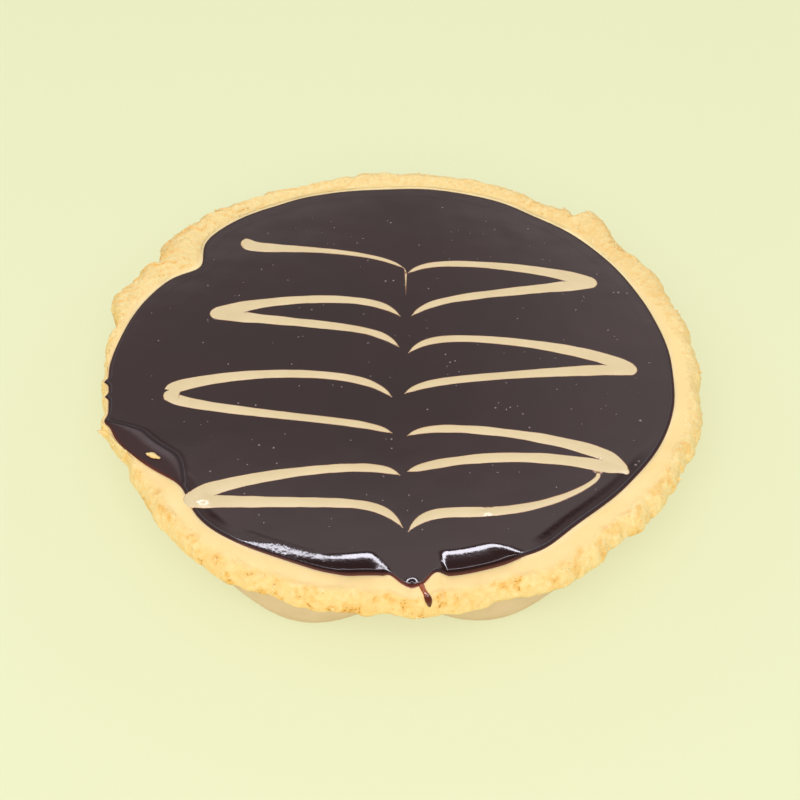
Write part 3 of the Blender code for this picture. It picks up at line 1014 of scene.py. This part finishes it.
def addNoise(tree, coordinates, scale, detail, roughness=0.5):
    node = tree.nodes.new("ShaderNodeTexNoise")
    node.inputs["Scale"].default_value = scale
    node.inputs["Detail"].default_value = detail
    node.inputs["Roughness"].default_value = roughness
    tree.links.new(coordinates, node.inputs["Vector"])
    return node.outputs["Fac"]


def addRamp(tree, value, stops):
    node = tree.nodes.new("ShaderNodeValToRGB")
    ramp = node.color_ramp
    while len(ramp.elements) < len(stops):
        ramp.elements.new(0.5)
    for element, (position, colour) in zip(ramp.elements, stops):
        element.position = position
        element.color = (*colour, 1.0)
    tree.links.new(value, node.inputs["Fac"])
    return node.outputs["Color"]


def addMath(tree, operation, first, second):
    node = tree.nodes.new("ShaderNodeMath")
    node.operation = operation
    for socket, value in zip(node.inputs, (first, second)):
        if isinstance(value, (int, float)):
            socket.default_value = value
        else:
            tree.links.new(value, socket)
    return node.outputs[0]


def addMix(tree, factor, first, second, blend="MIX"):
    node = tree.nodes.new("ShaderNodeMix")
    node.data_type = "RGBA"
    node.blend_type = blend
    for name, kind, value in (("Factor", "VALUE", factor), ("A", "RGBA", first), ("B", "RGBA", second)):
        socket = next(s for s in node.inputs if s.name == name and s.type == kind)
        if isinstance(value, (int, float)):
            socket.default_value = value
        elif isinstance(value, tuple):
            socket.default_value = (*value, 1.0)
        else:
            tree.links.new(value, socket)
    return next(s for s in node.outputs if s.type == "RGBA")


def addAttributeNode(tree, name):
    node = tree.nodes.new("ShaderNodeAttribute")
    node.attribute_name = name
    return node.outputs["Fac"]


def addBump(tree, height, distance, strength, shader):
    node = tree.nodes.new("ShaderNodeBump")
    node.inputs["Distance"].default_value = distance
    node.inputs["Strength"].default_value = strength
    tree.links.new(height, node.inputs["Height"])
    tree.links.new(node.outputs["Normal"], shader.inputs["Normal"])


def addMapRange(tree, value, low, high, atLow=0.0, atHigh=1.0):
    node = tree.nodes.new("ShaderNodeMapRange")
    node.interpolation_type = "SMOOTHSTEP"
    for name, number in (("From Min", low), ("From Max", high), ("To Min", atLow), ("To Max", atHigh)):
        node.inputs[name].default_value = number
    tree.links.new(value, node.inputs["Value"])
    return node.outputs["Result"]


# a ramp of colours lists each colour after its place on the noise, or on the attribute, that it follows
pastryFinish = {
    "cream": [(0.3, (0.965, 0.69, 0.29)), (0.7, (0.995, 0.735, 0.345))],
    "crumb": [(0.33, (0.985, 0.69, 0.25)), (0.62, (1.0, 0.82, 0.40))],
    "crumbShare": 0.8,
    # the browned colour, which also paints the shade under the pastry's layers
    "toastedAndShaded": (0.93, 0.52, 0.12),
    "darkSpots": (0.55, 0.24, 0.045),
    # the colour of the painted highlight along the inner edge, and how much of it is mixed in
    "innerEdgeHighlight": (1.0, 0.86, 0.49),
    "innerHighlightShare": 0.7,
    # the side under the rim: the same pastry painted darker and greyer, as painted shade under the lip
    "wall": [(0.3, (0.71, 0.52, 0.31)), (0.7, (0.76, 0.57, 0.36))],
    "roughness": 0.75,
    "gloss": 0.25,
    "grainDepth": 0.0005,
}


def bakedPastry():
    material, tree, shader = newMaterial("bakedPastry")
    finish = pastryFinish
    place = objectPlace(tree)
    browningAndShade = addAttributeNode(tree, "browningAndShade")
    zone = addAttributeNode(tree, "roughZone")
    innerEdgeHighlight = addAttributeNode(tree, "innerEdgeHighlight")
    wall = addAttributeNode(tree, "wall")
    blotch = addNoise(tree, place, 260.0, 3.0)
    grain = addNoise(tree, place, 1500.0, 5.0, 0.7)
    fleck = addNoise(tree, place, 2600.0, 2.0, 0.5)
    cream = addRamp(tree, blotch, finish["cream"])
    crumbly = addRamp(tree, grain, finish["crumb"])
    colour = addMix(tree, addMath(tree, "MULTIPLY", zone, finish["crumbShare"]), cream, crumbly)
    # mixes in the browning and the painted shade under the layers
    grainyToastAndShade = addMath(tree, "MULTIPLY", browningAndShade, addMapRange(tree, grain, 0.3, 0.62, 0.35, 1.15))
    colour = addMix(tree, grainyToastAndShade, colour, finish["toastedAndShaded"])
    darkSpots = addMath(tree, "MULTIPLY", addMapRange(tree, browningAndShade, 0.64, 1.0),
                        addMapRange(tree, fleck, 0.52, 0.66))
    colour = addMix(tree, darkSpots, colour, finish["darkSpots"])
    # painted highlight along the pastry's inner edge
    innerHighlightShare = addMath(tree, "MULTIPLY", innerEdgeHighlight, finish["innerHighlightShare"])
    colour = addMix(tree, innerHighlightShare, colour, finish["innerEdgeHighlight"])
    # painted shade on the side under the rim
    colour = addMix(tree, wall, colour, addRamp(tree, blotch, finish["wall"]))
    tree.links.new(colour, shader.inputs["Base Color"])
    shader.inputs["Roughness"].default_value = finish["roughness"]
    shader.inputs["Specular IOR Level"].default_value = finish["gloss"]
    relief = addMath(tree, "MULTIPLY", grain, addMath(tree, "ADD", zone, 0.12))
    addBump(tree, relief, finish["grainDepth"], 0.7, shader)
    return material


glazeFinish = {
    "dark": [(0.35, (0.0165, 0.0055, 0.0050)), (0.65, (0.0210, 0.0075, 0.0066))],
    "thin": [(0.75, (0.115, 0.024, 0.012)), (1.0, (0.33, 0.070, 0.018))],
    "folded": (0.036, 0.012, 0.0095),
    "gloss": (0.5, 0.26),               # away from the folds and in them
    "roughness": (0.08, 0.84),          # where it shines and where it is dullest
    "ior": 1.5,
    "rippleStretch": (1.0, 0.5, 1.0),
    "rippleShare": 0.9,
    "reliefDepth": 0.00008,
}


def chocolateGlaze():
    material, tree, shader = newMaterial("chocolateGlaze")
    finish = glazeFinish
    place = objectPlace(tree)
    thin = addAttributeNode(tree, "thinEdge")
    cloud = addNoise(tree, place, 55.0, 2.0)
    dark = addRamp(tree, cloud, finish["dark"])
    thinner = addRamp(tree, thin, finish["thin"])
    folded = addAttributeNode(tree, "folded")
    dark = addMix(tree, addMapRange(tree, folded, 1.0, 2.0), dark, finish["folded"])
    colour = addMix(tree, addMapRange(tree, thin, 0.0, 0.75), dark, thinner)
    tree.links.new(colour, shader.inputs["Base Color"])
    gloss = addMapRange(tree, folded, 0.0, 1.0, *finish["gloss"])
    tree.links.new(gloss, shader.inputs["Specular IOR Level"])
    dull = addAttributeNode(tree, "dullEdge")
    tree.links.new(addMapRange(tree, dull, 0.0, 2.0, *finish["roughness"]), shader.inputs["Roughness"])
    shader.inputs["IOR"].default_value = finish["ior"]
    stretch = tree.nodes.new("ShaderNodeVectorMath")
    stretch.operation = "MULTIPLY"
    stretch.inputs[1].default_value = finish["rippleStretch"]
    tree.links.new(place, stretch.inputs[0])
    ripple = addNoise(tree, stretch.outputs[0], 2600.0, 2.0)
    ripples = addAttributeNode(tree, "ripples")
    strength = addMath(tree, "MULTIPLY", ripples, finish["rippleShare"])
    strength = addMath(tree, "ADD", strength, 0.1)
    swell = addNoise(tree, place, 140.0, 1.0)
    relief = addMath(tree, "ADD", addMath(tree, "MULTIPLY", ripple, strength), swell)
    addBump(tree, relief, finish["reliefDepth"], 0.6, shader)
    return material


def paintedBubbleGlint():  # the bubbles painted paler than the glaze, a painted glint standing in for their tiny highlights
    material, tree, shader = newMaterial("paintedBubbleGlint")
    place = objectPlace(tree)
    cloud = addNoise(tree, place, 90.0, 2.0)
    # pale colour as a painted glint on the bubbles
    glintColour = addRamp(tree, cloud, [(0.35, (0.05, 0.03, 0.028)), (0.65, (0.22, 0.17, 0.16))])
    tree.links.new(glintColour, shader.inputs["Base Color"])
    shader.inputs["Roughness"].default_value = 0.3
    return material


icingFinish = {
    "cream": [(0.35, (0.705, 0.555, 0.305)), (0.65, (0.745, 0.597, 0.344))],
    # what the cream is multiplied by, from the very edge inwards
    "fringe": [
        (0.0, (0.10, 0.025, 0.02)), (0.45, (0.45, 0.25, 0.15)),
        (0.8, (0.93, 0.86, 0.86)), (1.0, (1.0, 1.0, 1.0)),
    ],
    "roughness": 0.22,
    "reliefDepth": 0.00008,
}


def beigeIcing():
    material, tree, shader = newMaterial("beigeIcing")
    place = objectPlace(tree)
    body = addAttributeNode(tree, "icingBody")
    cloud = addNoise(tree, place, 160.0, 3.0)
    cream = addRamp(tree, cloud, icingFinish["cream"])
    edge = addRamp(tree, body, icingFinish["fringe"])
    colour = addMix(tree, 1.0, cream, edge, "MULTIPLY")
    tree.links.new(colour, shader.inputs["Base Color"])
    shader.inputs["Roughness"].default_value = icingFinish["roughness"]
    swell = addNoise(tree, place, 300.0, 2.0)
    addBump(tree, swell, icingFinish["reliefDepth"], 0.6, shader)
    return material


def giveMaterial(piece, material):
    piece.data.materials.clear()
    piece.data.materials.append(material)


pastryMaterial, glazeMaterial = bakedPastry(), chocolateGlaze()
for piece in [crust, crumbs, *flakes]:
    giveMaterial(piece, pastryMaterial)
for piece in [glaze, run]:
    giveMaterial(piece, glazeMaterial)
giveMaterial(bubbles, paintedBubbleGlint())
icingMaterial = beigeIcing()
for stroke in icingPieces:
    giveMaterial(stroke, icingMaterial)

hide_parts("crust")
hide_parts("chocolate_filling")
for piece in [crust, crumbs, *flakes, glaze, bubbles, run, *icingPieces]:
    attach(piece, "root")
print("materials given")


# the floor, the light and the camera
stageSettings = {
    "floorColour": (0.845, 0.868, 0.558),
    "floorGlow": 0.55,          # share of the floor's brightness that shadows leave alone
    "roomLight": 0.74,
    # how bright the gloss sees the room overhead, behind, low down behind and at the sides, and what it
    # gains to the right and in the far corners
    "skyGloss": {"dark": 0.10, "back": 1.32, "low": 0.73, "sides": 0.3, "rightward": 0.46, "corners": 0.42},
    # from where to where, towards the back or to the side, each of them comes in
    "skyReach": {
        "back": (0.45, 0.57),
        "low": (0.60, 0.68),
        "sides": (0.70, 0.95),
        "rightward": (0.0, 0.2),
        "rightBack": (0.57, 0.70),
        "corners": (0.768, 0.81),
    },
    "cornerSlant": 0.35,
    "glossTint": (1.10, 0.97, 0.97),
    "softbox": {"place": (-0.05, -0.50, 0.55), "size": (0.7, 0.6), "power": 3.0},
    "softboxTint": (1.0, 0.98, 1.0),
    "stripTint": (0.99, 0.97, 1.08),
    # a frame of four light strips overhead, seen only in the gloss: place, size and power
    "lightFrame": {
        "farStrip": ((0.0, 0.237, 0.75), (0.92, 0.10), 6.4),
        "nearStrip": ((0.0, -0.13, 0.75), (0.92, 0.05), 1.2),
        "leftStrip": ((-0.42, 0.12, 0.75), (0.08, 0.55), 2.2),
        "rightStrip": ((0.42, 0.12, 0.75), (0.08, 0.55), 2.2),
    },
    "aim": (0.15 * mm, -10.8 * mm, 16.0 * mm),
    "distance": 250.0 * mm,
    "elevation": 46.7,
    "lens": 67.5,
}


def makeFloor():
    bpy.ops.mesh.primitive_plane_add(size=6.0, location=(0.0, 0.0, 0.0))
    floor = bpy.context.object
    floor.name = "paleFloor"
    material, _, shader = newMaterial("paleFloor")
    glow = stageSettings["floorGlow"]
    ownColour = [(1.0 - glow) * part for part in stageSettings["floorColour"]]
    shader.inputs["Base Color"].default_value = (*ownColour, 1.0)
    shader.inputs["Emission Color"].default_value = (*stageSettings["floorColour"], 1.0)
    shader.inputs["Emission Strength"].default_value = glow
    shader.inputs["Roughness"].default_value = 0.9
    shader.inputs["Specular IOR Level"].default_value = 0.0
    floor.data.materials.append(material)


# an even pale room; the gloss sees it dark overhead and bright behind, brightest to the right and in the
# far corners, and a little bright at the sides
def makeRoom():
    gloss, reach = stageSettings["skyGloss"], stageSettings["skyReach"]
    world = bpy.data.worlds.new("softRoom")
    world.use_nodes = True
    tree = world.node_tree
    background = tree.nodes["Background"]
    direction = tree.nodes.new("ShaderNodeSeparateXYZ")
    tree.links.new(tree.nodes.new("ShaderNodeTexCoord").outputs["Generated"], direction.inputs[0])
    towardsRight, towardsBack = direction.outputs["X"], direction.outputs["Y"]
    sideways = addMath(tree, "ABSOLUTE", towardsRight, 0.0)
    back = addMapRange(tree, towardsBack, *reach["back"], gloss["dark"], gloss["back"])
    lower = addMapRange(tree, towardsBack, *reach["low"], 0.0, gloss["back"] - gloss["low"])
    rightward = addMapRange(tree, towardsRight, *reach["rightward"], 0.0, gloss["rightward"])
    rightBack = addMapRange(tree, towardsBack, *reach["rightBack"])
    rightward = addMath(tree, "MULTIPLY", rightward, rightBack)
    outward = addMath(tree, "MULTIPLY", sideways, stageSettings["cornerSlant"])
    outward = addMath(tree, "ADD", outward, towardsBack)
    corners = addMapRange(tree, outward, *reach["corners"], 0.0, gloss["corners"])
    sides = addMapRange(tree, sideways, *reach["sides"], 0.0, gloss["sides"])
    glossy = addMath(tree, "MAXIMUM", addMath(tree, "SUBTRACT", back, lower), sides)
    glossy = addMath(tree, "ADD", glossy, addMath(tree, "ADD", rightward, corners))
    glossy = addMix(tree, 1.0, glossy, stageSettings["glossTint"], "MULTIPLY")
    ray = tree.nodes.new("ShaderNodeLightPath")
    room = (stageSettings["roomLight"],) * 3
    colour = addMix(tree, ray.outputs["Is Glossy Ray"], room, glossy)
    colour = addMix(tree, ray.outputs["Is Camera Ray"], colour, stageSettings["floorColour"])
    tree.links.new(colour, background.inputs["Color"])
    background.inputs["Strength"].default_value = 1.0
    bpy.context.scene.world = world


def addPanel(name, place, size, power):
    lamp = bpy.data.lights.new(name, "AREA")
    lamp.shape = "RECTANGLE"
    lamp.size, lamp.size_y = size
    lamp.energy = power
    lamp.color = stageSettings["softboxTint" if name == "softbox" else "stripTint"]
    item = bpy.data.objects.new(name, lamp)
    item.location = place
    if name == "softbox":
        item.rotation_euler = Vector(place).to_track_quat("Z", "Y").to_euler()
    bpy.context.scene.collection.objects.link(item)
    return item


def makeCamera():
    tilt = math.radians(stageSettings["elevation"])
    aim = Vector(stageSettings["aim"])
    camera = bpy.data.cameras.new("tableCamera")
    camera.sensor_width = 36.0
    camera.lens = stageSettings["lens"]
    camera.clip_start = 0.01
    item = bpy.data.objects.new("tableCamera", camera)
    item.location = aim + stageSettings["distance"] * Vector((0.0, -math.cos(tilt), math.sin(tilt)))
    item.rotation_euler = (math.pi / 2 - tilt, 0.0, 0.0)
    bpy.context.scene.collection.objects.link(item)
    bpy.context.scene.camera = item


makeFloor()
makeRoom()
addPanel("softbox", *stageSettings["softbox"].values()).visible_glossy = False
for stripName, strip in stageSettings["lightFrame"].items():
    addPanel(stripName, *strip).visible_diffuse = False
makeCamera()
bpy.context.scene.view_settings.view_transform = "Standard"
print("stage made")
